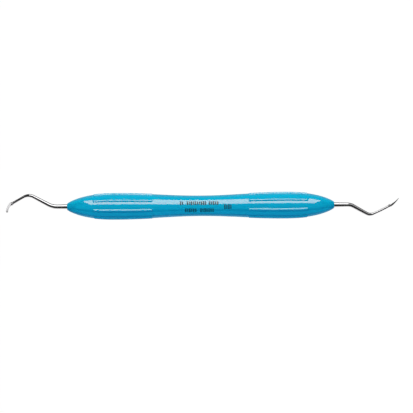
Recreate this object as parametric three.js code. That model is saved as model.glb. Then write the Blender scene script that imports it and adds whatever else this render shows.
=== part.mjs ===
// Double-ended dental scaler with a silicone grip. Two ground steel working ends are bonded into
// polymer end cones, the cones plug into a steel core tube, and one moulded silicone sleeve with
// raised ribs covers cones and tube from shank to shank.
//
// Millimetres, +Z up. The handle's axis lies along X and the instrument rests on its ribs. Both
// shanks are bent in the horizontal plane, the left one towards +Y and the right one towards -Y.
// The origin is on the surface it rests on, under the middle of its bounding box.

import * as THREE from "three";

// Handle
const HANDLE_LENGTH = 116;
const FACE_GAP = 0.05; // between faces that are bonded, moulded on or pressed together
const ROUND_SEGMENTS = 32;

// Grip sleeve
const BELLY_RADIUS = 5.65;
const BELLY_FROM_END = 22;
const WAIST_RADIUS = 4.45;
const NOSE_FULLNESS = 2.55; // how soon the nose reaches the belly's radius
const NOSE_POINT = 0.83; // below 1 the nose starts blunt
const LAND_WIDTH = 0.25; // flat shut-off ring round the shank
const RIB_COUNT = 8;
const RIB_FROM_END = 11.45;
const RIB_LENGTH = 25.85;
const RIB_HEIGHT = 0.42;
const RIB_RAMP = 0.8; // length over which a rib rises at each of its ends
const SAMPLES_PER_RIB = 8;

// Core tube
const TUBE_RADIUS = 3;
const TUBE_WALL = 0.75;
const TUBE_FROM_END = 20;

// End cones
const CONE_RADIUS = 3.9;
const CONE_FROM_END = 3;
const CONE_TAPER = 9;
const CONE_NOSE_WALL = 0.55;
const SPIGOT_LENGTH = 12;
const SPIGOT_CHAMFER = 0.5;

// Tangs and the resin rings round them
const TANG_RADIUS = 1.5;
const TANG_LENGTH = 14;
const TANG_CHAMFER = 0.3;
const GROOVE_COUNT = 4;
const GROOVE_WIDTH = 1;
const GROOVE_DEPTH = 0.2;
const RESIN_LENGTH = 2;
const BORE_RELIEF = 0.3; // free depth behind the tang

// Working ends. Lengths run along the bent wire from the handle's end, angles are in degrees.
const SHANK_RADIUS = 1.03;
const END_SEGMENTS = 24;
const ARC_STEP = 7; // degrees turned per ring of the mesh
const LEG_STEP = 2.5; // millimetres per ring on the straight legs
const BLADE_STEPS = 9;
const TAPER_RUN = 1.5; // the taper of the second bend ends this far past it
const LEFT_END = {
  lead: 4.15,
  firstBendRadius: 8.8,
  firstBend: 28.2,
  firstLeg: 7.2,
  secondBendRadius: 4.4,
  secondBend: 57,
  secondLeg: 5.95,
  legBow: 1.5, // how far the second leg turns on its way to the blade
  bladeLength: 4.6,
  bladeBend: 61,
  bladeSweep: 0.9, // out of the plane of the bends, at the tip
  bendRadius: 0.74, // of the wire, where the second bend starts
  rootRadius: 0.54,
  bladeWidth: 1.25,
  tipWidth: 0.8,
};
const RIGHT_END = {
  lead: 5.9,
  firstBendRadius: 5,
  firstBend: 29.2,
  firstLeg: 6.6,
  secondBendRadius: 3.2,
  secondBend: 51.3,
  secondLeg: 8.25,
  legBow: 7.2,
  bladeLength: 4.9,
  bladeBend: 22,
  bladeSweep: -0.9,
  bendRadius: 0.72,
  rootRadius: 0.5,
  bladeWidth: 1.05,
  tipWidth: 0.14,
};

const LAND_RADIUS = SHANK_RADIUS + FACE_GAP + LAND_WIDTH;
const RIB_END = RIB_FROM_END + RIB_LENGTH;
const BORE_RADIUS = TANG_RADIUS + FACE_GAP;
const TANG_FROM_END = CONE_FROM_END + RESIN_LENGTH + FACE_GAP;
const TANG_END = TANG_FROM_END + TANG_LENGTH;
const SPIGOT_RADIUS = TUBE_RADIUS - TUBE_WALL - FACE_GAP;
const CONE_END = TUBE_FROM_END + SPIGOT_LENGTH;

const silicone = new THREE.MeshStandardMaterial({ color: "#009cc4", roughness: 0.38, metalness: 0 });
const steel = new THREE.MeshStandardMaterial({ color: "#c4c6c8", roughness: 0.18, metalness: 1 });
const tubeSteel = new THREE.MeshStandardMaterial({ color: "#a9acaf", roughness: 0.4, metalness: 1 });
const polymer = new THREE.MeshStandardMaterial({ color: "#d8d2c2", roughness: 0.5, metalness: 0 });
const resin = new THREE.MeshStandardMaterial({ color: "#b9935a", roughness: 0.3, metalness: 0 });

/** Turns an outline of [distance along X, radius] pairs into a round solid about the X axis. */
function turned(outline, segments, phase = 0) {
  const profile = outline.map(([x, radius]) => new THREE.Vector2(radius, x));
  return new THREE.LatheGeometry(profile, segments, phase).rotateZ(-Math.PI / 2);
}

/** Radius of the sleeve between its ribs, at a distance from the handle's nearer end. */
function sleeveRadius(fromEnd) {
  if (fromEnd < BELLY_FROM_END) {
    const toBelly = 1 - fromEnd / BELLY_FROM_END;
    const rise = (1 - toBelly ** NOSE_FULLNESS) ** NOSE_POINT;
    return THREE.MathUtils.lerp(LAND_RADIUS, BELLY_RADIUS, rise);
  }
  const toWaist = (fromEnd - BELLY_FROM_END) / (HANDLE_LENGTH / 2 - BELLY_FROM_END);
  return THREE.MathUtils.lerp(BELLY_RADIUS, WAIST_RADIUS, (1 - Math.cos(Math.PI * toWaist)) / 2);
}

/** Evenly spaced values from start towards end, without end itself. */
function steps(start, end, count) {
  return Array.from({ length: count }, (_, i) => THREE.MathUtils.lerp(start, end, i / count));
}

/** One moulded silicone sleeve, with its ribs raised from the lathe's crest columns. */
function gripSleeve() {
  const half = HANDLE_LENGTH / 2;
  const nose = steps(0, 1, 9).map((t) => RIB_FROM_END * t ** 1.7);
  const rib = [
    RIB_FROM_END,
    ...steps(RIB_FROM_END + RIB_RAMP, RIB_END - RIB_RAMP, 7),
    RIB_END - RIB_RAMP,
    RIB_END,
  ];
  const waist = steps(RIB_END, half, 4).slice(1);
  const fromEnd = [...nose, ...rib, ...waist];
  const outer = [
    ...fromEnd.map((d) => [d - half, sleeveRadius(d)]),
    [0, WAIST_RADIUS],
    ...fromEnd.toReversed().map((d) => [half - d, sleeveRadius(d)]),
  ];
  const pocket = [
    [0, SHANK_RADIUS + FACE_GAP],
    [CONE_FROM_END - FACE_GAP, SHANK_RADIUS + FACE_GAP],
    [CONE_FROM_END - FACE_GAP, BORE_RADIUS + CONE_NOSE_WALL + FACE_GAP],
    [CONE_FROM_END + CONE_TAPER, CONE_RADIUS + FACE_GAP],
    [TUBE_FROM_END, CONE_RADIUS + FACE_GAP],
    [TUBE_FROM_END, TUBE_RADIUS + FACE_GAP],
  ];
  const bore = [
    ...pocket.map(([d, radius]) => [half - d, radius]),
    ...pocket.toReversed().map(([d, radius]) => [d - half, radius]),
  ];
  const columns = RIB_COUNT * SAMPLES_PER_RIB;
  const geometry = turned([...outer, ...bore, outer[0]], columns, Math.PI / columns);
  raiseRibs(geometry, columns);
  return geometry;
}

/** Lifts the two columns of vertices on either side of each rib's centre line. */
function raiseRibs(geometry, columns) {
  const pitch = (2 * Math.PI) / RIB_COUNT;
  const crest = (2 * Math.PI) / columns;
  const position = geometry.getAttribute("position");
  const point = new THREE.Vector3();
  for (let i = 0; i < position.count; i += 1) {
    point.fromBufferAttribute(position, i);
    const radius = Math.hypot(point.y, point.z);
    const fromEnd = HANDLE_LENGTH / 2 - Math.abs(point.x);
    const onSurface = radius > sleeveRadius(fromEnd) - FACE_GAP;
    const angle = THREE.MathUtils.euclideanModulo(Math.atan2(point.y, point.z), pitch);
    if (!onSurface || Math.abs(angle - pitch / 2) > crest) continue;
    const inside = Math.min(fromEnd - RIB_FROM_END, RIB_END - fromEnd);
    const height = RIB_HEIGHT * THREE.MathUtils.clamp(inside / RIB_RAMP, 0, 1);
    const scale = 1 + height / radius;
    position.setXYZ(i, point.x, point.y * scale, point.z * scale);
  }
}

/** Thin-walled core tube, open at both ends. */
function coreTube() {
  const end = HANDLE_LENGTH / 2 - TUBE_FROM_END - FACE_GAP;
  const outline = [
    [-end, TUBE_RADIUS],
    [end, TUBE_RADIUS],
    [end, TUBE_RADIUS - TUBE_WALL],
    [-end, TUBE_RADIUS - TUBE_WALL],
    [-end, TUBE_RADIUS],
  ];
  return turned(outline, ROUND_SEGMENTS);
}

/** End cone with its blind bore for the tang and its spigot for the tube. Outwards is +X. */
function endCone() {
  const outline = [
    [-CONE_END, 0],
    [-CONE_END, SPIGOT_RADIUS - SPIGOT_CHAMFER],
    [SPIGOT_CHAMFER - CONE_END, SPIGOT_RADIUS],
    [-TUBE_FROM_END + FACE_GAP, SPIGOT_RADIUS],
    [-TUBE_FROM_END + FACE_GAP, CONE_RADIUS],
    [-CONE_FROM_END - CONE_TAPER, CONE_RADIUS],
    [-CONE_FROM_END, BORE_RADIUS + CONE_NOSE_WALL],
    [-CONE_FROM_END, BORE_RADIUS],
    [-TANG_END - BORE_RELIEF, BORE_RADIUS],
    [-TANG_END - BORE_RELIEF, 0],
  ];
  return turned(outline, ROUND_SEGMENTS);
}

/** Cured resin that fills the cone's mouth round the shank. */
function resinRing() {
  const inner = SHANK_RADIUS + FACE_GAP;
  const outer = BORE_RADIUS - FACE_GAP;
  const back = -CONE_FROM_END - RESIN_LENGTH;
  const outline = [
    [back, outer],
    [-CONE_FROM_END, outer],
    [-CONE_FROM_END, inner],
    [back, inner],
    [back, outer],
  ];
  return turned(outline, ROUND_SEGMENTS);
}

/** The bent wire's centre line as straight legs and arcs, with the length along it at each ring. */
function centreLine(end) {
  const path = new THREE.Path();
  const rings = [];
  const place = new THREE.Vector2(0, 0);
  let heading = 0;
  let travelled = 0;

  const leg = (length) => {
    rings.push(...steps(travelled, travelled + length, Math.ceil(length / LEG_STEP)));
    place.add(new THREE.Vector2(Math.cos(heading), Math.sin(heading)).multiplyScalar(length));
    path.lineTo(place.x, place.y);
    travelled += length;
  };
  const bend = (degrees, radius, count) => {
    const turn = THREE.MathUtils.degToRad(degrees);
    const side = Math.sign(turn);
    const centre = new THREE.Vector2(-Math.sin(heading), Math.cos(heading)).multiplyScalar(side * radius);
    centre.add(place);
    const from = heading - (side * Math.PI) / 2;
    path.absarc(centre.x, centre.y, radius, from, from + turn, turn < 0);
    rings.push(...steps(travelled, travelled + radius * Math.abs(turn), count));
    place.set(centre.x + radius * Math.cos(from + turn), centre.y + radius * Math.sin(from + turn));
    heading += turn;
    travelled += radius * Math.abs(turn);
  };

  const bow = (degrees, length, count) => bend(-degrees, length / THREE.MathUtils.degToRad(degrees), count);

  leg(end.lead);
  bend(end.firstBend, end.firstBendRadius, Math.ceil(end.firstBend / ARC_STEP));
  leg(end.firstLeg);
  const bendStart = travelled;
  bend(-end.secondBend, end.secondBendRadius, Math.ceil(end.secondBend / ARC_STEP));
  const bendEnd = travelled;
  bow(end.legBow, end.secondLeg, Math.ceil(end.secondLeg / LEG_STEP));
  const bladeStart = travelled;
  bow(end.bladeBend, end.bladeLength, BLADE_STEPS);
  return { path, rings, bendStart, bendEnd, bladeStart, length: travelled };
}

/** Radius of the round shank at a length along the wire, tapering most in the second bend. */
function shankRadius(end, line, along) {
  if (along < line.bendStart) {
    return THREE.MathUtils.lerp(SHANK_RADIUS, end.bendRadius, Math.max(along, 0) / line.bendStart);
  }
  const toRoot = THREE.MathUtils.smoothstep(along, line.bendStart, line.bendEnd + TAPER_RUN);
  return THREE.MathUtils.lerp(end.bendRadius, end.rootRadius, toRoot);
}

/** Distance from the middle of a unit triangle to its side, with a corner at angle 0. */
function triangle(angle) {
  const third = (2 * Math.PI) / 3;
  const toCorner = THREE.MathUtils.euclideanModulo(angle, third) - third / 2;
  return Math.cos(third / 2) / Math.cos(toCorner);
}

/** Tang, bent shank and ground blade in one piece. Outwards is +X, the bends go towards +Y. */
function workingEnd(end) {
  const line = centreLine(end);
  const tang = [
    [-TANG_END, 0],
    [-TANG_END, TANG_RADIUS - TANG_CHAMFER],
    [TANG_CHAMFER - TANG_END, TANG_RADIUS],
  ];
  const pitch = TANG_LENGTH / (GROOVE_COUNT + 1);
  for (let i = 1; i <= GROOVE_COUNT; i += 1) {
    const middle = -TANG_END + i * pitch;
    tang.push(
      [middle - GROOVE_WIDTH / 2, TANG_RADIUS],
      [middle - GROOVE_WIDTH / 2 + GROOVE_DEPTH, TANG_RADIUS - GROOVE_DEPTH],
      [middle + GROOVE_WIDTH / 2 - GROOVE_DEPTH, TANG_RADIUS - GROOVE_DEPTH],
      [middle + GROOVE_WIDTH / 2, TANG_RADIUS],
    );
  }
  tang.push([-TANG_FROM_END, TANG_RADIUS], [-TANG_FROM_END, SHANK_RADIUS]);
  const wire = [...line.rings, line.length].map((along) => [along, shankRadius(end, line, along)]);
  const geometry = turned([...tang, ...wire, [line.length, 0]], END_SEGMENTS);
  bendAlong(geometry, end, line);
  return geometry;
}

/** Moves a straight wire onto its centre line and grinds its last stretch to a blade. */
function bendAlong(geometry, end, line) {
  const position = geometry.getAttribute("position");
  const point = new THREE.Vector3();
  for (let i = 0; i < position.count; i += 1) {
    point.fromBufferAttribute(position, i);
    if (point.x <= 0) continue;
    const share = Math.min(point.x / line.length, 1);
    const middle = line.path.getPointAt(share);
    const tangent = line.path.getTangentAt(share);
    const onBlade = THREE.MathUtils.clamp((point.x - line.bladeStart) / end.bladeLength, 0, 1);
    let across = point.y;
    let up = point.z;
    if (onBlade > 0 && Math.hypot(across, up) > 0) {
      const angle = Math.atan2(up, across);
      const ground = Math.min(onBlade * BLADE_STEPS, 1);
      const width = THREE.MathUtils.lerp(end.bladeWidth, end.tipWidth, onBlade);
      const round = end.rootRadius;
      const reach = THREE.MathUtils.lerp(round, (width / 1.5) * triangle(angle), ground);
      across = reach * Math.cos(angle);
      up = reach * Math.sin(angle);
    }
    up += end.bladeSweep * onBlade ** 2;
    position.setXYZ(i, middle.x - tangent.y * across, middle.y + tangent.x * across, up);
  }
}

/** Adds one named piece to the instrument. */
function add(group, name, geometry, material) {
  const mesh = new THREE.Mesh(geometry, material);
  mesh.name = name;
  group.add(mesh);
  return mesh;
}

/** Pieces of one end, built outwards from the handle's end at the group's origin. */
function handleEnd(side, end) {
  const group = new THREE.Group();
  add(group, `${side}_end_cone`, endCone(), polymer);
  add(group, `${side}_bond_ring`, resinRing(), resin);
  add(group, `${side}_working_end`, workingEnd(end), steel);
  return group;
}

const instrument = new THREE.Group();
add(instrument, "grip_sleeve", gripSleeve(), silicone);
add(instrument, "core_tube", coreTube(), tubeSteel);

const left = handleEnd("left", LEFT_END);
left.position.x = -HANDLE_LENGTH / 2;
left.rotation.y = Math.PI;
instrument.add(left);

const right = handleEnd("right", RIGHT_END);
right.position.x = HANDLE_LENGTH / 2;
right.rotation.x = Math.PI;
instrument.add(right);

instrument.updateMatrixWorld(true);
const box = new THREE.Box3().setFromObject(instrument, true);
instrument.position.set(-(box.min.x + box.max.x) / 2, -(box.min.y + box.max.y) / 2, -box.min.z);

const model = new THREE.Group();
model.add(instrument);
export default model;
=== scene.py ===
"""Looks of a double-ended dental scaler with a silicone grip.

Round the fixed CAD frame it builds the moulded grip with its ribs, the plain printed strokes on
the waist and both ground steel working ends, gives every piece its finish, and lays the
instrument on a pale backlit table among light panels. Metres, in the frame of the CAD model.
"""

import math

import bmesh
import bpy
import numpy as np
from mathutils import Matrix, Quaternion, Vector


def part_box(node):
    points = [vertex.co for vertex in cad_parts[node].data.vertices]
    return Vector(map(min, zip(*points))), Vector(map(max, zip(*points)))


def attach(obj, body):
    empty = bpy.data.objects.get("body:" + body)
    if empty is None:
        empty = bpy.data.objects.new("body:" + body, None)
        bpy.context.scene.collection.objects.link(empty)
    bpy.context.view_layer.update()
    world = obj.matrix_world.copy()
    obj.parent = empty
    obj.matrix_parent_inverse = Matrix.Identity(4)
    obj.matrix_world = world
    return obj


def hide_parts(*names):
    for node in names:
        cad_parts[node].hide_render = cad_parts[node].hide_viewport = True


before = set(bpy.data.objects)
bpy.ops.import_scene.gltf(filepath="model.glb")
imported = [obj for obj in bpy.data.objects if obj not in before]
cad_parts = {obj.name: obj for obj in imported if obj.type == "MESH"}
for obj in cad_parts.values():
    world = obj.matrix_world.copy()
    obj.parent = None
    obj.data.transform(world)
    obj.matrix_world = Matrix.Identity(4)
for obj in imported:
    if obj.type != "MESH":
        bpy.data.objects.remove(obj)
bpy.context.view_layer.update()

bl_info = {
    "name": "Silicone Grip Scaler",
    "version": (1, 0, 0),
    "blender": (4, 5, 0),
    "location": "3D View > Sidebar > Scaler",
    "description": "Builds a double-ended dental scaler: moulded grip, marks, working ends and studio",
    "category": "Add Mesh",
}

MM = 0.001
BODY = "root"

SLEEVE_LOW, SLEEVE_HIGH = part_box("grip_sleeve")
HALF_HANDLE = (SLEEVE_HIGH.x - SLEEVE_LOW.x) / 2
MIDDLE_X = (SLEEVE_HIGH.x + SLEEVE_LOW.x) / 2
AXIS_Z = (SLEEVE_HIGH.z + SLEEVE_LOW.z) / 2
TUBE_LOW, TUBE_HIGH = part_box("core_tube")
TUBE_RADIUS = (TUBE_HIGH.z - TUBE_LOW.z) / 2
CONE_LOW, CONE_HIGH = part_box("right_end_cone")
CONE_RADIUS = (CONE_HIGH.z - CONE_LOW.z) / 2
TANG_BACK = SLEEVE_HIGH.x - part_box("right_working_end")[0].x
TUBE_FROM_END = SLEEVE_HIGH.x - TUBE_HIGH.x
CONE_FROM_END = SLEEVE_HIGH.x - CONE_HIGH.x
# How finely the sleeve is meshed. Its rings lie closer towards the tip of the nose.
NOSE_RINGS = 34
NOSE_SHARE = 0.93  # of the way from the handle's end to the ribs
NOSE_CROWDING = 1.6
COLUMNS_PER_RIB = 32
FINE_PITCH, COARSE_PITCH = 0.11 * MM, 0.6 * MM
FINE_MARGIN = 1.0 * MM  # fine rings on each side of a rib's end
SLEEVE_SHARP = math.radians(50)

# How finely a working end is meshed.
WIRE_COLUMNS = 72
WIRE_PITCH, BLADE_PITCH = 0.16 * MM, 0.06 * MM
BLADE_LEAD = 1 * MM  # the fine rings start this far before the blade
SHOULDER_GAP = 0.05 * MM
CAP_SHARE = 0.3  # length of the tip's round cap, of the tip's width
CAP_RINGS = 8
CAP_POLE = 0.002  # the last ring stops this share of the cap short of its pole
STEEL_SHARP = math.radians(40)

# The blade's ground flats face these ways, in degrees round the wire.
FACETS = (60, 180, 300)
TANG_CHAMFER, TANG_GROOVE = 0.3 * MM, 1.0 * MM

# One row per size of a bent working end: left value, right value, unit, what it is.
WIRE_SIZES = {
    "lead": (4.15 * MM, 5.9 * MM, "LENGTH", "Straight stretch out of the handle"),
    "first_radius": (8.8 * MM, 5.0 * MM, "LENGTH", "Radius of the first bend"),
    "first_bend": (math.radians(28.2), math.radians(29.2), "ROTATION", "Turn of the first bend"),
    "first_leg": (7.2 * MM, 6.6 * MM, "LENGTH", "Straight leg between the bends"),
    "second_radius": (4.4 * MM, 3.2 * MM, "LENGTH", "Radius of the second bend"),
    "second_bend": (math.radians(57.0), math.radians(51.3), "ROTATION", "Turn of the second bend"),
    "second_leg": (5.95 * MM, 8.25 * MM, "LENGTH", "Leg between the second bend and the blade"),
    "leg_bow": (math.radians(1.5), math.radians(7.2), "ROTATION", "Turn along the second leg"),
    "blade_length": (4.6 * MM, 4.9 * MM, "LENGTH", "Length of the blade"),
    "blade_bend": (math.radians(61), math.radians(22), "ROTATION", "Turn along the blade"),
    "blade_sweep": (0.9 * MM, -0.9 * MM, "LENGTH", "Tip's offset out of the plane of the bends"),
    "bend_radius": (0.74 * MM, 0.72 * MM, "LENGTH", "Wire radius where the second bend starts"),
    "root_radius": (0.54 * MM, 0.5 * MM, "LENGTH", "Wire radius at the blade's root"),
    "blade_width": (1.25 * MM, 1.05 * MM, "LENGTH", "Width of the blade at its root"),
    "tip_width": (0.8 * MM, 0.14 * MM, "LENGTH", "Width of the blade at its tip"),
}

# Light panels. Angles are in degrees from straight above, towards the side that the panel is turned
# to: 0 is +Y and 90 is -X. They say where the panel starts and ends and which way it faces. Then
# come where it starts and ends along the handle and its distance, in metres, its radiance where the
# table's is 1, its tint, the side it is turned to, and which pieces it lights.
GRIP, STEEL = "lit as grip", "lit as steel"
PANELS = {
    "softbox": (15, 64, 56, -0.81, 0.95, 1.5, 6.3, "#ffe6ce", 0, GRIP),
    "back_card": (70, 100, 85, -1.5, 1.5, 1.5, 1.05, "#20e0ff", 0, GRIP),
    "overhead_card": (-38, 15, -10, -1.5, 1.5, 1.5, 0.85, "#20e0ff", 0, GRIP),
    "front_card": (-104, -62, -83, -1.5, 1.5, 1.5, 1.65, "#20dcf8", 0, GRIP),
    "under_table_front": (-170, -114, -142, -1.5, 1.5, 1.5, 0.8, "#a0f4ff", 0, GRIP),
    "under_table_back": (102, 170, 136, -1.5, 1.5, 1.5, 0.5, "#d0f0ff", 0, GRIP),
    "steel_softbox": (28, 78, 53, -0.13, 0.13, 0.4, 2.5, "#ffffff", 0, STEEL),
    "steel_wide_softbox": (28, 78, 53, -0.13, 0.45, 0.4, 0.7, "#ffffff", 0, STEEL),
    "steel_front_card": (-172, -90, -131, -2.0, 2.0, 1.5, 1.1, "#ffffff", 0, STEEL),
    "steel_left_card": (35, 95, 65, -0.9, 0.9, 1.5, 1.4, "#ffffff", 78, STEEL),
}


def metres(name, value, description):
    """A length that a user can change."""
    return bpy.props.FloatProperty(
        name=name, default=value, description=description, unit="LENGTH", precision=5
    )


def linear(hex_colour):
    """Linear RGBA of an sRGB hex colour such as #0096bd."""
    channels = [int(hex_colour[i : i + 2], 16) / 255 for i in (1, 3, 5)]
    return [c / 12.92 if c <= 0.04045 else ((c + 0.055) / 1.055) ** 2.4 for c in channels] + [1.0]


def colour(name, hex_colour, description):
    """A colour that a user can change, given as sRGB hex."""
    return bpy.props.FloatVectorProperty(
        name=name,
        default=linear(hex_colour),
        description=description,
        subtype="COLOR",
        size=4,
        min=0,
        max=1,
    )


class GripSizes(bpy.types.PropertyGroup):
    """Sizes and colour of the moulded silicone sleeve."""

    belly_radius: metres("Belly radius", 5.65 * MM, "Largest radius between the ribs")
    belly_from_end: metres("Belly from end", 22 * MM, "Distance of the belly from the handle's end")
    waist_radius: metres("Waist radius", 4.45 * MM, "Radius in the middle of the handle")
    land_radius: metres("Land radius", 1.33 * MM, "Outer radius of the flat end ring")
    hole_radius: metres("Hole radius", 1.08 * MM, "Hole for the shank")
    nose_fullness: bpy.props.FloatProperty(name="Nose fullness", default=2.55, description="Belly's spread")
    nose_point: bpy.props.FloatProperty(name="Nose point", default=0.83, description="Below 1 is blunt")
    rib_count: bpy.props.IntProperty(name="Ribs", default=8, min=3, description="Ribs round each belly")
    rib_from_end: metres("Rib from end", 11.45 * MM, "Start of the ribs from the handle's end")
    rib_length: metres("Rib length", 25.85 * MM, "Length of a rib at its foot")
    rib_width: metres("Rib width", 1.12 * MM, "Width of a rib at its foot")
    rib_height: metres("Rib height", 0.42 * MM, "Height of a rib's crest")
    rib_flank: metres("Rib flank", 0.36 * MM, "Width of the sloping side, fillets included")
    rib_corner: metres("Rib corner", 0.35 * MM, "Corner radius of a rib's ends in plan")
    nose_wall: metres("Nose wall", 2.15 * MM, "Radius of the pocket at the end cone's nose")
    cone_taper: metres("Cone taper", 9 * MM, "Length of the end cone's taper")
    fit: metres("Fit", 0.05 * MM, "Gap to the pieces that the sleeve is moulded on")
    colour: colour("Silicone", "#0092bb", "Pigment of the silicone")


class MarkSizes(bpy.types.PropertyGroup):
    """Sizes and colour of the plain printed strokes on the waist."""

    spacing: metres("Spacing", 0.87 * MM, "Distance from one stroke to the next")
    stroke_width: metres("Stroke width", 0.62 * MM, "Width of the widest stroke")
    relief: metres("Relief", 0.02 * MM, "How far the print stands on the silicone")
    seed: bpy.props.IntProperty(name="Seed", default=4, description="Seed of the strokes' sizes")
    colour: colour("Print", "#04384e", "Ink of the print")


def wire_group(name, side):
    """A property group of one working end's sizes, from the table's column for its side."""
    made = {
        key: bpy.props.FloatProperty(
            name=key.replace("_", " ").capitalize(),
            default=row[side],
            unit=row[2],
            description=row[3],
            precision=5,
        )
        for key, row in WIRE_SIZES.items()
    }
    return type(name, (bpy.types.PropertyGroup,), {"__annotations__": made, "__doc__": "Bent steel end."})


LeftEndSizes = wire_group("LeftEndSizes", 0)
RightEndSizes = wire_group("RightEndSizes", 1)


class SteelSizes(bpy.types.PropertyGroup):
    """What both working ends share."""

    shank_radius: metres("Shank radius", 1.03 * MM, "Radius at the handle")
    taper_run: metres("Taper run", 1.5 * MM, "How far past the second bend its taper ends")
    tang_radius: metres("Tang radius", 1.5 * MM, "Radius of the tang in the end cone")
    tang_front: metres("Tang front", 5.05 * MM, "Distance of the tang's shoulder from the handle's end")
    groove_depth: metres("Groove depth", 0.2 * MM, "Depth of the tang's bonding grooves")
    groove_count: bpy.props.IntProperty(name="Grooves", default=4, description="Grooves in each tang")
    colour: colour("Steel", "#c8c7c8", "Colour of the polished steel")


class StudioSizes(bpy.types.PropertyGroup):
    """Table, lights and camera."""

    width: metres("Picture width", 179.5 * MM, "Width that the camera takes in at the instrument")
    aim_x: metres("Aim X", 1.86 * MM, "Where the camera aims, along the handle")
    aim_y: metres("Aim Y", -0.33 * MM, "Where the camera aims, across the handle")
    elevation: bpy.props.FloatProperty(
        name="Elevation", default=math.radians(86.5), unit="ROTATION", description="Camera above the table"
    )
    roll: bpy.props.FloatProperty(
        name="Roll", default=math.radians(0.42), unit="ROTATION", description="Tilt of the picture"
    )
    lens: bpy.props.FloatProperty(name="Lens", default=150, description="Focal length in millimetres")
    brightness: bpy.props.FloatProperty(name="Brightness", default=1.0, description="Of every light panel")
    backlight: bpy.props.FloatProperty(name="Backlight", default=1.0, description="Radiance of the table")
    colour: colour("Table", "#7c7d7e", "Colour of the table with its backlight off")


SETTINGS = {
    "scaler_grip": GripSizes,
    "scaler_marks": MarkSizes,
    "scaler_left": LeftEndSizes,
    "scaler_right": RightEndSizes,
    "scaler_steel": SteelSizes,
    "scaler_studio": StudioSizes,
}


def add(tree, kind, inputs=None, **settings):
    """Adds a node with its settings. Each input is a socket to link or a value to set."""
    node = tree.nodes.new(kind)
    for name, value in settings.items():
        setattr(node, name, value)
    for key, value in (inputs or {}).items():
        socket = node.inputs[key]
        if isinstance(value, bpy.types.NodeSocket):
            tree.links.new(value, socket)
        else:
            socket.default_value = value
    return node


def new_material(name):
    """An empty node material and its tree, with the shader made last by finish_material."""
    material = bpy.data.materials.new(name)
    material.use_nodes = True
    material.node_tree.nodes.clear()
    return material, material.node_tree


def finish_material(tree, inputs):
    """Adds the Principled shader and the output."""
    shader = add(tree, "ShaderNodeBsdfPrincipled", inputs)
    add(tree, "ShaderNodeOutputMaterial", {"Surface": shader.outputs[0]})


def mix_colours(tree, share, first, second):
    """Socket of two colours mixed by a share."""
    mixed = add(tree, "ShaderNodeMix", {0: share, 6: first, 7: second}, data_type="RGBA")
    return mixed.outputs[2]


def shade(rgba, factor):
    """The same colour, lighter or darker."""
    return [min(c * factor, 1.0) for c in rgba[:3]] + [1.0]


# ---------------------------------------------------------------- materials


def moulded_silicone(sizes):
    """Moulded silicone rubber: a soft gloss on a skin that is milky just below."""
    material, tree = new_material("moulded silicone rubber")
    place = add(tree, "ShaderNodeTexCoord").outputs["Object"]
    # Flow lines of the pigment, about 9 mm long clouds.
    clouds = add(tree, "ShaderNodeTexNoise", {"Vector": place, "Scale": 1 / (9 * MM), "Detail": 2.0})
    base = mix_colours(tree, clouds.outputs["Fac"], shade(sizes.colour, 0.97), shade(sizes.colour, 1.03))
    # Finely eroded mould: its 0.03 mm grain is drawn at 0.25 mm so that it shows.
    grain = add(tree, "ShaderNodeTexNoise", {"Vector": place, "Scale": 1 / (0.25 * MM), "Detail": 3.0})
    rough = add(
        tree,
        "ShaderNodeMapRange",
        {"Value": grain.outputs["Fac"], "To Min": 0.06, "To Max": 0.09},
    )
    bump = add(
        tree,
        "ShaderNodeBump",
        {"Height": grain.outputs["Fac"], "Strength": 0.03, "Distance": 0.01 * MM},
    )
    # The specular level is twice the usual one, for a skin that shines more than its IOR gives.
    finish_material(
        tree,
        {
            "Base Color": base,
            "Roughness": rough.outputs[0],
            "IOR": 1.41,
            "Specular IOR Level": 1.0,
            "Normal": bump.outputs[0],
            "Subsurface Weight": 0.35,
            "Subsurface Radius": (0.15, 0.7, 1.0),
            "Subsurface Scale": 1.5 * MM,
        },
    )
    return material


def silicone_ink(sizes):
    """Silicone ink, pad printed and cured: dark and matt on the glossy rubber."""
    material, tree = new_material("pad printed silicone ink")
    place = add(tree, "ShaderNodeTexCoord").outputs["Object"]
    # Speckle of a thin print, about 0.12 mm.
    speckle = add(tree, "ShaderNodeTexNoise", {"Vector": place, "Scale": 1 / (0.12 * MM), "Detail": 2.0})
    base = mix_colours(tree, speckle.outputs["Fac"], shade(sizes.colour, 0.8), shade(sizes.colour, 1.25))
    finish_material(tree, {"Base Color": base, "Roughness": 0.45, "IOR": 1.41})
    return material


def polished_steel(sizes):
    """Hardened stainless steel, belt polished: bright, with hair lines along the wire."""
    material, tree = new_material("polished stainless steel")
    place = add(tree, "ShaderNodeUVMap", uv_map="Round").outputs["UV"]
    # Polishing lines are 0.01 mm apart on the real one and drawn 0.08 mm apart round the wire.
    stretch = add(tree, "ShaderNodeMapping", {"Vector": place, "Scale": (1 / (0.08 * MM), 1 / (4 * MM), 1)})
    lines = add(tree, "ShaderNodeTexNoise", {"Vector": stretch.outputs[0], "Scale": 1.0, "Detail": 3.0})
    rough = add(
        tree,
        "ShaderNodeMapRange",
        {"Value": lines.outputs["Fac"], "To Min": 0.04, "To Max": 0.1},
    )
    bump = add(
        tree,
        "ShaderNodeBump",
        {"Height": lines.outputs["Fac"], "Strength": 0.03, "Distance": 0.005 * MM},
    )
    base = mix_colours(tree, lines.outputs["Fac"], shade(sizes.colour, 0.97), shade(sizes.colour, 1.02))
    finish_material(
        tree,
        {"Base Color": base, "Metallic": 1.0, "Roughness": rough.outputs[0], "Normal": bump.outputs[0]},
    )
    return material


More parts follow.
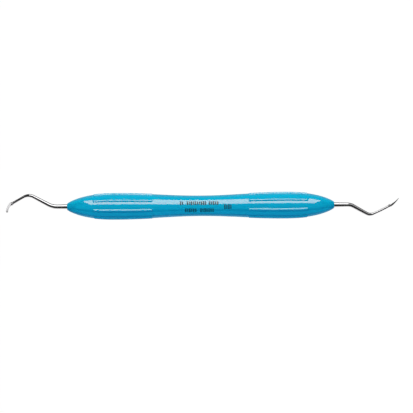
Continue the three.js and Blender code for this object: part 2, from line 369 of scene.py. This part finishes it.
def ground_steel(sizes):
    """The same steel as ground for the blade: satin, with fine lines across each facet."""
    material, tree = new_material("ground stainless steel")
    place = add(tree, "ShaderNodeUVMap", uv_map="Round").outputs["UV"]
    # Grinding lines are 0.01 mm apart on the real one and drawn 0.06 mm apart along the blade.
    stretch = add(tree, "ShaderNodeMapping", {"Vector": place, "Scale": (1 / (1.5 * MM), 1 / (0.06 * MM), 1)})
    lines = add(tree, "ShaderNodeTexNoise", {"Vector": stretch.outputs[0], "Scale": 1.0, "Detail": 3.0})
    rough = add(
        tree,
        "ShaderNodeMapRange",
        {"Value": lines.outputs["Fac"], "To Min": 0.34, "To Max": 0.46},
    )
    bump = add(
        tree,
        "ShaderNodeBump",
        {"Height": lines.outputs["Fac"], "Strength": 0.1, "Distance": 0.01 * MM},
    )
    finish_material(
        tree,
        {
            "Base Color": list(sizes.colour),
            "Metallic": 1.0,
            "Roughness": rough.outputs[0],
            "Normal": bump.outputs[0],
        },
    )
    return material


def drawn_steel():
    """Drawn stainless tube, as delivered: satin grey with draw lines along the tube."""
    material, tree = new_material("drawn stainless steel")
    place = add(tree, "ShaderNodeTexCoord").outputs["Object"]
    # Draw lines 0.15 mm apart and about 20 mm long.
    stretch = add(
        tree,
        "ShaderNodeMapping",
        {"Vector": place, "Scale": (1 / (20 * MM), 1 / (0.15 * MM), 1 / (0.15 * MM))},
    )
    lines = add(tree, "ShaderNodeTexNoise", {"Vector": stretch.outputs[0], "Scale": 1.0, "Detail": 2.0})
    rough = add(tree, "ShaderNodeMapRange", {"Value": lines.outputs["Fac"], "To Min": 0.28, "To Max": 0.42})
    base = mix_colours(tree, lines.outputs["Fac"], linear("#a3a6a9"), linear("#b9bbbd"))
    finish_material(tree, {"Base Color": base, "Metallic": 1.0, "Roughness": rough.outputs[0]})
    return material


def filled_polymer():
    """Glass-filled polyphenylsulphone, turned: cream and matt, with a fine fibre mottle."""
    material, tree = new_material("glass-filled polyphenylsulphone")
    place = add(tree, "ShaderNodeTexCoord").outputs["Object"]
    # Fibres are 0.2 mm long and lie along the bar that the cone was turned from.
    stretch = add(
        tree,
        "ShaderNodeMapping",
        {"Vector": place, "Scale": (1 / (0.6 * MM), 1 / (0.2 * MM), 1 / (0.2 * MM))},
    )
    fibres = add(tree, "ShaderNodeTexNoise", {"Vector": stretch.outputs[0], "Scale": 1.0, "Detail": 4.0})
    base = mix_colours(tree, fibres.outputs["Fac"], linear("#c9bfa6"), linear("#e0d8c4"))
    bump = add(
        tree,
        "ShaderNodeBump",
        {"Height": fibres.outputs["Fac"], "Strength": 0.15, "Distance": 0.02 * MM},
    )
    finish_material(tree, {"Base Color": base, "Roughness": 0.52, "IOR": 1.62, "Normal": bump.outputs[0]})
    return material


def cured_epoxy():
    """Cured epoxy resin: amber and glossy, cloudy where it has trapped air."""
    material, tree = new_material("cured epoxy resin")
    place = add(tree, "ShaderNodeTexCoord").outputs["Object"]
    # Clouds of bubbles about 0.5 mm across.
    bubbles = add(tree, "ShaderNodeTexNoise", {"Vector": place, "Scale": 1 / (0.5 * MM), "Detail": 3.0})
    base = mix_colours(tree, bubbles.outputs["Fac"], linear("#9a6a2c"), linear("#c29a58"))
    rough = add(tree, "ShaderNodeMapRange", {"Value": bubbles.outputs["Fac"], "To Min": 0.1, "To Max": 0.3})
    finish_material(tree, {"Base Color": base, "Roughness": rough.outputs[0], "IOR": 1.55})
    return material


def opal_acrylic(sizes):
    """Opal acrylic of a light table, lit from below: an even white ground that takes no shadow."""
    material, tree = new_material("backlit opal acrylic")
    place = add(tree, "ShaderNodeTexCoord").outputs["Object"]
    # Clouds of the white pigment, about 20 mm across.
    clouds = add(tree, "ShaderNodeTexNoise", {"Vector": place, "Scale": 1 / (20 * MM), "Detail": 2.0})
    base = mix_colours(tree, clouds.outputs["Fac"], shade(sizes.colour, 0.97), list(sizes.colour))
    finish_material(
        tree,
        {
            "Base Color": base,
            "Roughness": 0.5,
            "IOR": 1.49,
            "Emission Color": (1, 1, 1, 1),
            "Emission Strength": sizes.backlight,
        },
    )
    return material


# ---------------------------------------------------------------- meshes


def new_object(name, mesh):
    """An object at the origin that holds the mesh."""
    made = bpy.data.objects.new(name, mesh)
    bpy.context.scene.collection.objects.link(made)
    return made


def loft(name, rings, closed_length):
    """A mesh from rings of points. The ends are closed by fans, or the last ring meets the first."""
    count, columns = len(rings), len(rings[0])
    points = [tuple(p) for ring in rings for p in ring]
    faces = []
    for i in range(count if closed_length else count - 1):
        low, high = i * columns, (i + 1) % count * columns
        for j in range(columns):
            k = (j + 1) % columns
            faces.append((low + j, low + k, high + k, high + j))
    if not closed_length:
        for ring, back in ((0, True), (count - 1, False)):
            pole = len(points)
            points.append(tuple(np.mean(rings[ring], axis=0)))
            for j in range(columns):
                k = (j + 1) % columns
                pair = (ring * columns + j, ring * columns + k)
                faces.append((pole, *(pair[::-1] if back else pair)))
    mesh = bpy.data.meshes.new(name)
    mesh.from_pydata(points, [], faces)
    mesh.validate()
    mesh.shade_smooth()
    return mesh


def apply_nodes(carrier, tree, values):
    """Runs a Geometry Nodes tree on the object and keeps the result as its plain mesh."""
    modifier = carrier.modifiers.new(tree.name, "NODES")
    modifier.node_group = tree
    for item in tree.interface.items_tree:
        if item.item_type == "SOCKET" and item.in_out == "INPUT" and item.name in values:
            modifier[item.identifier] = values[item.name]
    graph = bpy.context.evaluated_depsgraph_get()
    made = bpy.data.meshes.new_from_object(carrier.evaluated_get(graph))
    carrier.modifiers.remove(modifier)
    carrier.data = made


def new_geometry_tree(name, inputs):
    """A Geometry Nodes tree with named inputs, given as name to socket type."""
    tree = bpy.data.node_groups.new(name, "GeometryNodeTree")
    tree.interface.new_socket("Geometry", in_out="INPUT", socket_type="NodeSocketGeometry")
    tree.interface.new_socket("Geometry", in_out="OUTPUT", socket_type="NodeSocketGeometry")
    for label, kind in inputs.items():
        tree.interface.new_socket(label, in_out="INPUT", socket_type=kind)
    return tree, tree.nodes.new("NodeGroupInput").outputs


def end_tree(tree, geometry, material):
    """Realizes the geometry, gives it its material and ends the tree."""
    real = add(tree, "GeometryNodeRealizeInstances", {0: geometry})
    painted = add(tree, "GeometryNodeSetMaterial", {"Geometry": real.outputs[0], "Material": material})
    add(tree, "NodeGroupOutput", {0: painted.outputs[0]})


def sleeve_radius(sizes, from_end):
    """Radius of the sleeve between its ribs, at a distance from the handle's nearer end."""
    if from_end < sizes.belly_from_end:
        to_belly = 1 - from_end / sizes.belly_from_end
        rise = (1 - to_belly**sizes.nose_fullness) ** sizes.nose_point
        return sizes.land_radius + (sizes.belly_radius - sizes.land_radius) * rise
    to_waist = (from_end - sizes.belly_from_end) / (HALF_HANDLE - sizes.belly_from_end)
    drop = (1 - math.cos(math.pi * to_waist)) / 2
    return sizes.belly_radius + (sizes.waist_radius - sizes.belly_radius) * drop


def spaced(start, end, pitch):
    """Even stations from start up to end, at most a pitch apart, without end itself."""
    count = max(1, math.ceil((end - start) / pitch))
    return [start + (end - start) * i / count for i in range(count)]


def sleeve_body(sizes):
    """The turned sleeve with its bore, before the ribs: fine rings only where the ribs end."""
    reach = sizes.rib_from_end * NOSE_SHARE
    nose = [reach * (i / NOSE_RINGS) ** NOSE_CROWDING for i in range(NOSE_RINGS)]
    rib_end = sizes.rib_from_end + sizes.rib_length
    margin, fine, coarse = FINE_MARGIN, FINE_PITCH, COARSE_PITCH
    stops = [
        (nose[-1] + coarse, sizes.rib_from_end - margin / 4, coarse),
        (sizes.rib_from_end - margin / 4, sizes.rib_from_end + margin, fine),
        (sizes.rib_from_end + margin, rib_end - margin, coarse),
        (rib_end - margin, rib_end + margin / 4, fine),
        (rib_end + margin / 4, HALF_HANDLE, coarse),
    ]
    from_end = nose + [d for start, end, pitch in stops if end > start for d in spaced(start, end, pitch)]
    half = [(HALF_HANDLE - d, sleeve_radius(sizes, d)) for d in from_end]
    outer = [(-x, r) for x, r in half] + [(0.0, sizes.waist_radius)] + half[::-1]
    pocket = [
        (0.0, sizes.hole_radius),
        (CONE_FROM_END - sizes.fit, sizes.hole_radius),
        (CONE_FROM_END - sizes.fit, sizes.nose_wall),
        (CONE_FROM_END + sizes.cone_taper, CONE_RADIUS + sizes.fit),
        (TUBE_FROM_END - sizes.fit, CONE_RADIUS + sizes.fit),
        (TUBE_FROM_END - sizes.fit, TUBE_RADIUS + sizes.fit),
    ]
    bore = [(HALF_HANDLE - d, r) for d, r in pocket] + [(d - HALF_HANDLE, r) for d, r in pocket[::-1]]
    columns = COLUMNS_PER_RIB * sizes.rib_count
    turn = np.arange(columns) * 2 * math.pi / columns
    rings = [
        np.column_stack((np.full(columns, MIDDLE_X + x), r * np.sin(turn), AXIS_Z + r * np.cos(turn)))
        for x, r in outer + bore
    ]
    mesh = loft("grip_sleeve_moulded", rings, closed_length=True)
    skin = mesh.attributes.new("skin", "FLOAT", "POINT")
    skin.data.foreach_set("value", np.repeat([1.0] * len(outer) + [0.0] * len(bore), columns))
    return new_object("grip_sleeve_moulded", mesh)


def rib_tree():
    """Geometry Nodes that raise evenly spaced ribs with filleted sides from a turned body."""
    number = "NodeSocketFloat"
    inputs = ("Rib Count", "Rib Middle", "Rib Length", "Rib Width", "Rib Height", "Rib Flank")
    places = ("Rib Corner", "Handle Middle", "Axis Height")
    tree, given = new_geometry_tree(
        "Raised Ribs", {**{n: number for n in inputs + places}, "Material": "NodeSocketMaterial"}
    )
    where = add(tree, "ShaderNodeSeparateXYZ", {0: add(tree, "GeometryNodeInputPosition").outputs[0]})
    along = add(
        tree, "ShaderNodeMath", {0: where.outputs[0], 1: given["Handle Middle"]}, operation="SUBTRACT"
    )
    side = add(tree, "ShaderNodeMath", {0: along.outputs[0]}, operation="ABSOLUTE")
    off = add(tree, "ShaderNodeMath", {0: side.outputs[0], 1: given["Rib Middle"]}, operation="SUBTRACT")
    off = add(tree, "ShaderNodeMath", {0: off.outputs[0]}, operation="ABSOLUTE")
    up = add(tree, "ShaderNodeMath", {0: where.outputs[2], 1: given["Axis Height"]}, operation="SUBTRACT")
    radial = add(tree, "ShaderNodeCombineXYZ", {1: where.outputs[1], 2: up.outputs[0]})
    radius = add(tree, "ShaderNodeVectorMath", {0: radial.outputs[0]}, operation="LENGTH")
    outward = add(tree, "ShaderNodeVectorMath", {0: radial.outputs[0]}, operation="NORMALIZE")

    # Arc length from the middle of the nearest rib. Ribs lie half a pitch from the top.
    half_pitch = add(tree, "ShaderNodeMath", {0: math.pi, 1: given["Rib Count"]}, operation="DIVIDE")
    angle = add(tree, "ShaderNodeMath", {0: where.outputs[1], 1: up.outputs[0]}, operation="ARCTAN2")
    between = add(
        tree, "ShaderNodeMath", {0: angle.outputs[0], 1: half_pitch.outputs[0]}, operation="PINGPONG"
    )
    to_rib = add(
        tree, "ShaderNodeMath", {0: half_pitch.outputs[0], 1: between.outputs[0]}, operation="SUBTRACT"
    )
    arc = add(
        tree, "ShaderNodeMath", {0: to_rib.outputs[0], 1: radius.outputs["Value"]}, operation="MULTIPLY"
    )

    # Distance from the rib's outline in plan, a rectangle with round corners.
    beyond = []
    for place, size in ((off, "Rib Length"), (arc, "Rib Width")):
        half = add(tree, "ShaderNodeMath", {0: given[size], 1: 2.0}, operation="DIVIDE")
        flat = add(tree, "ShaderNodeMath", {0: half.outputs[0], 1: given["Rib Corner"]}, operation="SUBTRACT")
        over = add(tree, "ShaderNodeMath", {0: place.outputs[0], 1: flat.outputs[0]}, operation="SUBTRACT")
        beyond.append(over.outputs[0])
    outside = [add(tree, "ShaderNodeMath", {0: b, 1: 0.0}, operation="MAXIMUM").outputs[0] for b in beyond]
    corner = add(tree, "ShaderNodeCombineXYZ", {0: outside[0], 1: outside[1]})
    reach = add(tree, "ShaderNodeVectorMath", {0: corner.outputs[0]}, operation="LENGTH")
    inner = add(tree, "ShaderNodeMath", {0: beyond[0], 1: beyond[1]}, operation="MAXIMUM")
    inner = add(tree, "ShaderNodeMath", {0: inner.outputs[0], 1: 0.0}, operation="MINIMUM")
    edge = add(tree, "ShaderNodeMath", {0: reach.outputs["Value"], 1: inner.outputs[0]}, operation="ADD")
    edge = add(tree, "ShaderNodeMath", {0: given["Rib Corner"], 1: edge.outputs[0]}, operation="SUBTRACT")

    lift = add(
        tree,
        "ShaderNodeMapRange",
        {"Value": edge.outputs[0], "From Max": given["Rib Flank"], "To Max": given["Rib Height"]},
        interpolation_type="SMOOTHSTEP",
    )
    skin = add(tree, "GeometryNodeInputNamedAttribute", {"Name": "skin"}, data_type="FLOAT")
    height = add(
        tree, "ShaderNodeMath", {0: lift.outputs[0], 1: skin.outputs[0]}, operation="MULTIPLY"
    )
    shift = add(
        tree, "ShaderNodeVectorMath", {0: outward.outputs[0], "Scale": height.outputs[0]}, operation="SCALE"
    )
    raised = add(
        tree, "GeometryNodeSetPosition", {"Geometry": given["Geometry"], "Offset": shift.outputs[0]}
    )
    end_tree(tree, raised.outputs[0], given["Material"])
    return tree


def stroke_tree():
    """Geometry Nodes that lay a row of plain upright strokes on the top of the sleeve."""
    tree, given = new_geometry_tree(
        "Printed Strokes",
        {
            "Strokes": "NodeSocketInt",
            "Spacing": "NodeSocketFloat",
            "Stroke Width": "NodeSocketFloat",
            "Stroke Height": "NodeSocketFloat",
            "Relief": "NodeSocketFloat",
            "Start": "NodeSocketVector",
            "Seed": "NodeSocketInt",
            "Sleeve": "NodeSocketObject",
            "Material": "NodeSocketMaterial",
        },
    )
    step = add(tree, "ShaderNodeCombineXYZ", {0: given["Spacing"]})
    row = add(
        tree,
        "GeometryNodeMeshLine",
        {"Count": given["Strokes"], "Start Location": given["Start"], "Offset": step.outputs[0]},
    )
    stroke = add(tree, "GeometryNodeMeshCube", {"Vertices X": 3, "Vertices Y": 9, "Vertices Z": 2})
    wide = add(
        tree,
        "FunctionNodeRandomValue",
        {"Min": 0.75, "Max": 1.0, "Seed": given["Seed"]},
        data_type="FLOAT",
    )
    wide_size = add(
        tree, "ShaderNodeMath", {0: wide.outputs[1], 1: given["Stroke Width"]}, operation="MULTIPLY"
    )
    number = add(tree, "GeometryNodeInputIndex")
    tall = add(
        tree,
        "FunctionNodeRandomValue",
        {"Min": 0.8, "Max": 1.0, "Seed": given["Seed"], "ID": number.outputs[0]},
        data_type="FLOAT",
    )
    tall_size = add(
        tree, "ShaderNodeMath", {0: tall.outputs[1], 1: given["Stroke Height"]}, operation="MULTIPLY"
    )
    size = add(
        tree,
        "ShaderNodeCombineXYZ",
        {0: wide_size.outputs[0], 1: tall_size.outputs[0], 2: given["Relief"]},
    )
    strokes = add(
        tree,
        "GeometryNodeInstanceOnPoints",
        {"Points": row.outputs[0], "Instance": stroke.outputs[0], "Scale": size.outputs[0]},
    )
    real = add(tree, "GeometryNodeRealizeInstances", {0: strokes.outputs[0]})

    # Every vertex drops straight down onto the sleeve and keeps its height in the stroke.
    where = add(tree, "GeometryNodeInputPosition")
    sleeve = add(tree, "GeometryNodeObjectInfo", {"Object": given["Sleeve"]}, transform_space="RELATIVE")
    parts = add(tree, "ShaderNodeSeparateXYZ", {0: where.outputs[0]})
    start = add(tree, "ShaderNodeSeparateXYZ", {0: given["Start"]})
    above = add(tree, "ShaderNodeMath", {0: parts.outputs[2], 1: start.outputs[2]}, operation="SUBTRACT")
    hit = add(
        tree,
        "GeometryNodeRaycast",
        {
            "Target Geometry": sleeve.outputs["Geometry"],
            "Source Position": where.outputs[0],
            "Ray Direction": (0, 0, -1),
            "Ray Length": 1.0,
        },
    )
    lift = add(tree, "ShaderNodeCombineXYZ", {2: above.outputs[0]})
    seat = add(
        tree, "ShaderNodeVectorMath", {0: hit.outputs["Hit Position"], 1: lift.outputs[0]}, operation="ADD"
    )
    laid = add(tree, "GeometryNodeSetPosition", {"Geometry": real.outputs[0], "Position": seat.outputs[0]})
    end_tree(tree, laid.outputs[0], given["Material"])
    return tree


def wire_legs(sizes):
    """Length and turn of each stretch of the bent wire, from the handle to the tip."""
    return [
        (sizes.lead, 0.0),
        (sizes.first_radius * sizes.first_bend, sizes.first_bend),
        (sizes.first_leg, 0.0),
        (sizes.second_radius * sizes.second_bend, -sizes.second_bend),
        (sizes.second_leg, -sizes.leg_bow),
        (sizes.blade_length, -sizes.blade_bend),
    ]


def on_wire(legs, along):
    """Point and heading of the wire's centre line at a length along it."""
    x, y, heading = min(along, 0.0), 0.0, 0.0
    for length, turn in legs:
        step = min(max(along, 0.0), length)
        bent = turn * step / length
        if turn:
            radius = length / turn
            x += radius * (math.sin(heading + bent) - math.sin(heading))
            y -= radius * (math.cos(heading + bent) - math.cos(heading))
        else:
            x += step * math.cos(heading)
            y += step * math.sin(heading)
        heading += bent
        along -= length
        if along <= 0:
            break
    return x, y, heading


def eased(value, low, high):
    """0 below low, 1 above high, smooth between."""
    share = min(max((value - low) / (high - low), 0.0), 1.0)
    return share * share * (3 - 2 * share)


def wire_radius(sizes, steel, legs, along):
    """Radius of the round wire, which tapers most in the second bend."""
    bend_start = sum(length for length, _ in legs[:3])
    bend_end = bend_start + legs[3][0]
    if along < bend_start:
        share = max(along, 0.0) / bend_start
        return steel.shank_radius + (sizes.bend_radius - steel.shank_radius) * share
    share = eased(along, bend_start, bend_end + steel.taper_run)
    return sizes.bend_radius + (sizes.root_radius - sizes.bend_radius) * share


def section(sizes, round_radius, on_blade, angle):
    """Distance from the centre line to the surface: round wire, cut back by three ground flats."""
    share = min(max(on_blade, 0.0), 1.0)
    width = sizes.blade_width + (sizes.tip_width - sizes.blade_width) * share
    grown = eased(on_blade, -0.25, 0.15)
    forged = round_radius + (width / 1.5 * 0.96 - round_radius) * grown
    flat = forged * 1.01 + (width / 3 - forged * 1.01) * eased(on_blade, -0.08, 0.3)
    reach = forged
    for facet in FACETS:
        facing = math.cos(angle - math.radians(facet))
        if facing > 0:
            reach = min(reach, flat / facing)
    return reach


def tang_outline(steel):
    """Stations of the tang behind the shank: chamfer, bonding grooves and shoulder."""
    back, front, radius = -TANG_BACK, -steel.tang_front, steel.tang_radius
    chamfer, groove = TANG_CHAMFER, TANG_GROOVE
    outline = [(back, radius - chamfer), (back + chamfer, radius)]
    pitch = (front - back) / (steel.groove_count + 1)
    for i in range(1, steel.groove_count + 1):
        middle = back + i * pitch
        low = radius - steel.groove_depth
        outline += [
            (middle - groove / 2, radius),
            (middle - groove / 2 + steel.groove_depth, low),
            (middle + groove / 2 - steel.groove_depth, low),
            (middle + groove / 2, radius),
        ]
    return outline + [(front, radius), (front, steel.shank_radius)]


def place_left(x, y, z):
    """Where a point of the left end goes. Both ends are drawn along +X with bends towards +Y."""
    return Vector((SLEEVE_LOW.x - x, y, AXIS_Z - z))


def place_right(x, y, z):
    """Where a point of the right end goes."""
    return Vector((SLEEVE_HIGH.x + x, -y, AXIS_Z - z))


def working_end_mesh(name, sizes, steel, finishes, place):
    """Tang, bent shank and ground blade in one mesh, with a UV map in metres round and along."""
    legs = wire_legs(sizes)
    total = sum(length for length, _ in legs)
    blade_start = total - sizes.blade_length
    cap = CAP_SHARE * sizes.tip_width
    wire = spaced(-steel.tang_front + SHOULDER_GAP, blade_start - BLADE_LEAD, WIRE_PITCH)
    wire += spaced(blade_start - BLADE_LEAD, total - cap, BLADE_PITCH)
    caps = [total - cap * math.cos(math.pi / 2 * i / CAP_RINGS) for i in range(CAP_RINGS)]
    caps.append(total - cap * CAP_POLE)
    stations = tang_outline(steel) + [(s, None) for s in wire + caps]
    columns = WIRE_COLUMNS
    turn = np.arange(columns) * 2 * math.pi / columns
    rings = []
    for along, radius in stations:
        x, y, heading = on_wire(legs, along)
        on_blade = (along - blade_start) / sizes.blade_length
        if radius is None:
            rounded = wire_radius(sizes, steel, legs, along)
            reach = np.array([section(sizes, rounded, on_blade, a) for a in turn])
            if along > total - cap:
                reach *= math.sqrt(1 - ((along - total + cap) / cap) ** 2)
        else:
            reach = np.full(columns, radius)
        across, up = reach * np.cos(turn), reach * np.sin(turn)
        up = up + sizes.blade_sweep * min(max(on_blade, 0.0), 1.0) ** 2
        rings.append(
            [
                place(x - math.sin(heading) * a, y + math.cos(heading) * a, u)
                for a, u in zip(across, up)
            ]
        )
    mesh = loft(name, rings, closed_length=False)
    along = np.array([s for s, _ in stations])
    paint_round_uv(mesh, along, columns, steel.shank_radius)
    # The bands come first, then the fans that close the tang and the tip.
    bands = np.repeat(along[:-1] >= blade_start, columns)
    fans = np.repeat([False, True], columns)
    for finish in ("polished", "ground"):
        mesh.materials.append(finishes[finish])
    mesh.polygons.foreach_set("material_index", np.append(bands, fans).astype(int))
    mesh.set_sharp_from_angle(angle=STEEL_SHARP)
    return mesh


def paint_round_uv(mesh, along, columns, radius):
    """UV in metres: round the wire at its largest radius, and along it."""
    layer = mesh.uv_layers.new(name="Round")
    body = len(along) * columns
    for face in mesh.polygons:
        corners = [mesh.loops[i].vertex_index for i in face.loop_indices]
        known = [v for v in corners if v < body]
        wraps = {v % columns for v in known} >= {0, columns - 1}
        for i, v in zip(face.loop_indices, corners):
            if v < body:
                column = v % columns + (columns if wraps and v % columns == 0 else 0)
                layer.data[i].uv = (column / columns * 2 * math.pi * radius, along[v // columns])
            else:
                layer.data[i].uv = (0.0, along[known[0] // columns])


def point_faces_outwards(mesh):
    """Recalculates the normals of a closed mesh."""
    work = bmesh.new()
    work.from_mesh(mesh)
    bmesh.ops.recalc_face_normals(work, faces=work.faces)
    work.to_mesh(mesh)
    work.free()


def lit_group(name):
    """The pieces that some of the light panels light. The collection stays outside the scene."""
    return bpy.data.collections.get(name) or bpy.data.collections.new(name)


def shown(piece, slot, *nodes):
    """Declares a finished piece: its body, its material slot and the CAD nodes it stands for."""
    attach(piece, BODY)
    lit_group(STEEL if slot == "instrument_steel" else GRIP).objects.link(piece)
    if nodes:
        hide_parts(*nodes)


# ---------------------------------------------------------------- operators


class SCALER_OT_grip(bpy.types.Operator):
    """Build the moulded silicone sleeve with its ribs"""

    bl_idname = "scaler.grip"
    bl_label = "Grip Sleeve"

    def execute(self, context):
        sizes = context.scene.scaler_grip
        sleeve = sleeve_body(sizes)
        point_faces_outwards(sleeve.data)
        values = {
            "Rib Count": float(sizes.rib_count),
            "Rib Middle": HALF_HANDLE - sizes.rib_from_end - sizes.rib_length / 2,
            "Rib Length": sizes.rib_length,
            "Rib Width": sizes.rib_width,
            "Rib Height": sizes.rib_height,
            "Rib Flank": sizes.rib_flank,
            "Rib Corner": sizes.rib_corner,
            "Handle Middle": MIDDLE_X,
            "Axis Height": AXIS_Z,
            "Material": moulded_silicone(sizes),
        }
        apply_nodes(sleeve, rib_tree(), values)
        sleeve.data.set_sharp_from_angle(angle=SLEEVE_SHARP)
        shown(sleeve, "grip_silicone", "grip_sleeve")
        return {"FINISHED"}


class SCALER_OT_marks(bpy.types.Operator):
    """Print groups of plain strokes on the waist"""

    bl_idname = "scaler.marks"
    bl_label = "Printed Strokes"

    def execute(self, context):
        sizes = context.scene.scaler_marks
        ink = silicone_ink(sizes)
        tree = stroke_tree()
        # Group: how many strokes, where the first stands, how far across the handle, how tall.
        rows = {
            "strokes_upper_left": (2, -8.66 * MM, 0.88 * MM, 1.75 * MM),
            "strokes_upper_middle": (10, -5.7 * MM, 0.88 * MM, 1.75 * MM),
            "strokes_upper_right": (5, 3.86 * MM, 0.88 * MM, 1.75 * MM),
            "strokes_lower_left": (6, -6.44 * MM, -2.17 * MM, 1.75 * MM),
            "strokes_lower_right": (7, 0.16 * MM, -2.17 * MM, 1.75 * MM),
            "strokes_end": (4, 10.46 * MM, -0.78 * MM, 2.1 * MM),
        }
        for name, (count, start, across, tall) in rows.items():
            row = new_object(name, bpy.data.meshes.new(name))
            values = {
                "Strokes": count,
                "Spacing": sizes.spacing,
                "Stroke Width": sizes.stroke_width,
                "Stroke Height": tall,
                "Relief": 2 * sizes.relief,
                "Start": (MIDDLE_X + start, across, SLEEVE_HIGH.z + 1 * MM),
                "Seed": sizes.seed,
                "Sleeve": bpy.data.objects["grip_sleeve_moulded"],
                "Material": ink,
            }
            apply_nodes(row, tree, values)
            shown(row, "grip_marking")
        return {"FINISHED"}


class SCALER_OT_working_ends(bpy.types.Operator):
    """Build both bent and ground steel working ends"""

    bl_idname = "scaler.working_ends"
    bl_label = "Working Ends"

    def execute(self, context):
        steel = context.scene.scaler_steel
        finishes = {"polished": polished_steel(steel), "ground": ground_steel(steel)}
        ends = {
            "left": (context.scene.scaler_left, place_left),
            "right": (context.scene.scaler_right, place_right),
        }
        for side, (sizes, place) in ends.items():
            mesh = working_end_mesh(f"{side}_end_ground", sizes, steel, finishes, place)
            point_faces_outwards(mesh)
            shown(new_object(f"{side}_end_ground", mesh), "instrument_steel", f"{side}_working_end")
        return {"FINISHED"}


class SCALER_OT_inner_pieces(bpy.types.Operator):
    """Give the tube, cones and resin rings inside the sleeve their finish"""

    bl_idname = "scaler.inner_pieces"
    bl_label = "Inner Pieces"

    def execute(self, context):
        finishes = {
            "core_tube": drawn_steel(),
            "end_cone": filled_polymer(),
            "bond_ring": cured_epoxy(),
        }
        for name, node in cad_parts.items():
            for part, finish in finishes.items():
                if name.endswith(part):
                    node.data.materials.clear()
                    node.data.materials.append(finish)
        return {"FINISHED"}


class SCALER_OT_studio(bpy.types.Operator):
    """Set up the table, the light panels and the camera"""

    bl_idname = "scaler.studio"
    bl_label = "Studio"

    def execute(self, context):
        sizes = context.scene.scaler_studio
        context.scene.view_settings.view_transform = "Standard"
        self.table(sizes)
        self.lights(sizes)
        self.surroundings()
        self.camera(context, sizes)
        return {"FINISHED"}

    def table(self, sizes):
        """A large pale table top at the height that the instrument rests on."""
        half = 3.0  # metres, out of every view
        corners = [(-half, -half, 0), (half, -half, 0), (half, half, 0), (-half, half, 0)]
        mesh = bpy.data.meshes.new("table_top")
        mesh.from_pydata(corners, [], [(0, 1, 2, 3)])
        mesh.materials.append(opal_acrylic(sizes))
        top = new_object("table_top", mesh)
        top.visible_diffuse = False
        top.visible_glossy = False
        top.visible_shadow = False

    def lights(self, sizes):
        """Flat panels parallel to the handle, each seen between two angles from straight above."""
        for name, row in PANELS.items():
            start, end, facing, left, right, distance, radiance, tint, turn, lit = row
            facing = math.radians(facing)
            low, high = (math.tan(math.radians(edge) - facing) * distance for edge in (start, end))
            light = bpy.data.lights.new(name, "AREA")
            light.shape = "RECTANGLE"
            light.size = right - left
            light.size_y = high - low
            light.energy = radiance * sizes.brightness * math.pi * light.size * light.size_y
            light.color = linear(tint)[:3]
            lamp = bpy.data.objects.new(name, light)
            bpy.context.scene.collection.objects.link(lamp)
            aim = Quaternion((0, 0, 1), math.radians(turn)) @ Quaternion((1, 0, 0), -facing)
            middle = Vector(((left + right) / 2, (low + high) / 2, distance))
            lamp.location = aim @ middle + Vector((MIDDLE_X, 0, AXIS_Z))
            lamp.rotation_mode = "QUATERNION"
            lamp.rotation_quaternion = aim
            lamp.visible_camera = False
            lamp.light_linking.receiver_collection = lit_group(lit)

    def surroundings(self):
        """A dim room that the camera itself sees as pale."""
        world = bpy.context.scene.world or bpy.data.worlds.new("studio")
        bpy.context.scene.world = world
        world.use_nodes = True
        tree = world.node_tree
        tree.nodes.clear()
        dim = add(tree, "ShaderNodeBackground", {"Color": (1, 1, 1, 1), "Strength": 0.04})
        pale = add(tree, "ShaderNodeBackground", {"Color": (1, 1, 1, 1), "Strength": 1.0})
        ray = add(tree, "ShaderNodeLightPath")
        both = add(
            tree,
            "ShaderNodeMixShader",
            {0: ray.outputs["Is Camera Ray"], 1: dim.outputs[0], 2: pale.outputs[0]},
        )
        add(tree, "ShaderNodeOutputWorld", {"Surface": both.outputs[0]})

    def camera(self, context, sizes):
        """A long lens from almost straight above, square to the handle."""
        data = bpy.data.cameras.new("camera")
        data.lens = sizes.lens
        view = bpy.data.objects.new("camera", data)
        context.scene.collection.objects.link(view)
        distance = sizes.width / 2 / (data.sensor_width / 2 / data.lens)
        back = Vector((0, -math.cos(sizes.elevation), math.sin(sizes.elevation)))
        view.location = Vector((sizes.aim_x, sizes.aim_y, AXIS_Z)) + back * distance
        view.rotation_mode = "QUATERNION"
        level = (-back).to_track_quat("-Z", "Y")
        view.rotation_quaternion = level @ Quaternion((0, 0, 1), -sizes.roll)
        context.scene.camera = view


OPERATORS = (
    SCALER_OT_studio,
    SCALER_OT_grip,
    SCALER_OT_marks,
    SCALER_OT_working_ends,
    SCALER_OT_inner_pieces,
)


class SCALER_PT_panel(bpy.types.Panel):
    """Lists the scaler's sizes and build steps"""

    bl_idname = "SCALER_PT_panel"
    bl_label = "Scaler"
    bl_space_type = "VIEW_3D"
    bl_region_type = "UI"
    bl_category = "Scaler"

    def draw(self, context):
        for operator in OPERATORS:
            self.layout.operator(operator.bl_idname)
        for name, group in SETTINGS.items():
            box = self.layout.box()
            for key in group.__annotations__:
                box.prop(getattr(context.scene, name), key)


CLASSES = (*SETTINGS.values(), *OPERATORS, SCALER_PT_panel)


def register():
    for item in CLASSES:
        bpy.utils.register_class(item)
    for name, group in SETTINGS.items():
        setattr(bpy.types.Scene, name, bpy.props.PointerProperty(type=group))


def unregister():
    for name in SETTINGS:
        delattr(bpy.types.Scene, name)
    for item in reversed(CLASSES):
        bpy.utils.unregister_class(item)


def main():
    register()
    for operator in OPERATORS:
        group, name = operator.bl_idname.split(".")
        getattr(getattr(bpy.ops, group), name)()


if __name__ == "__main__":
    main()
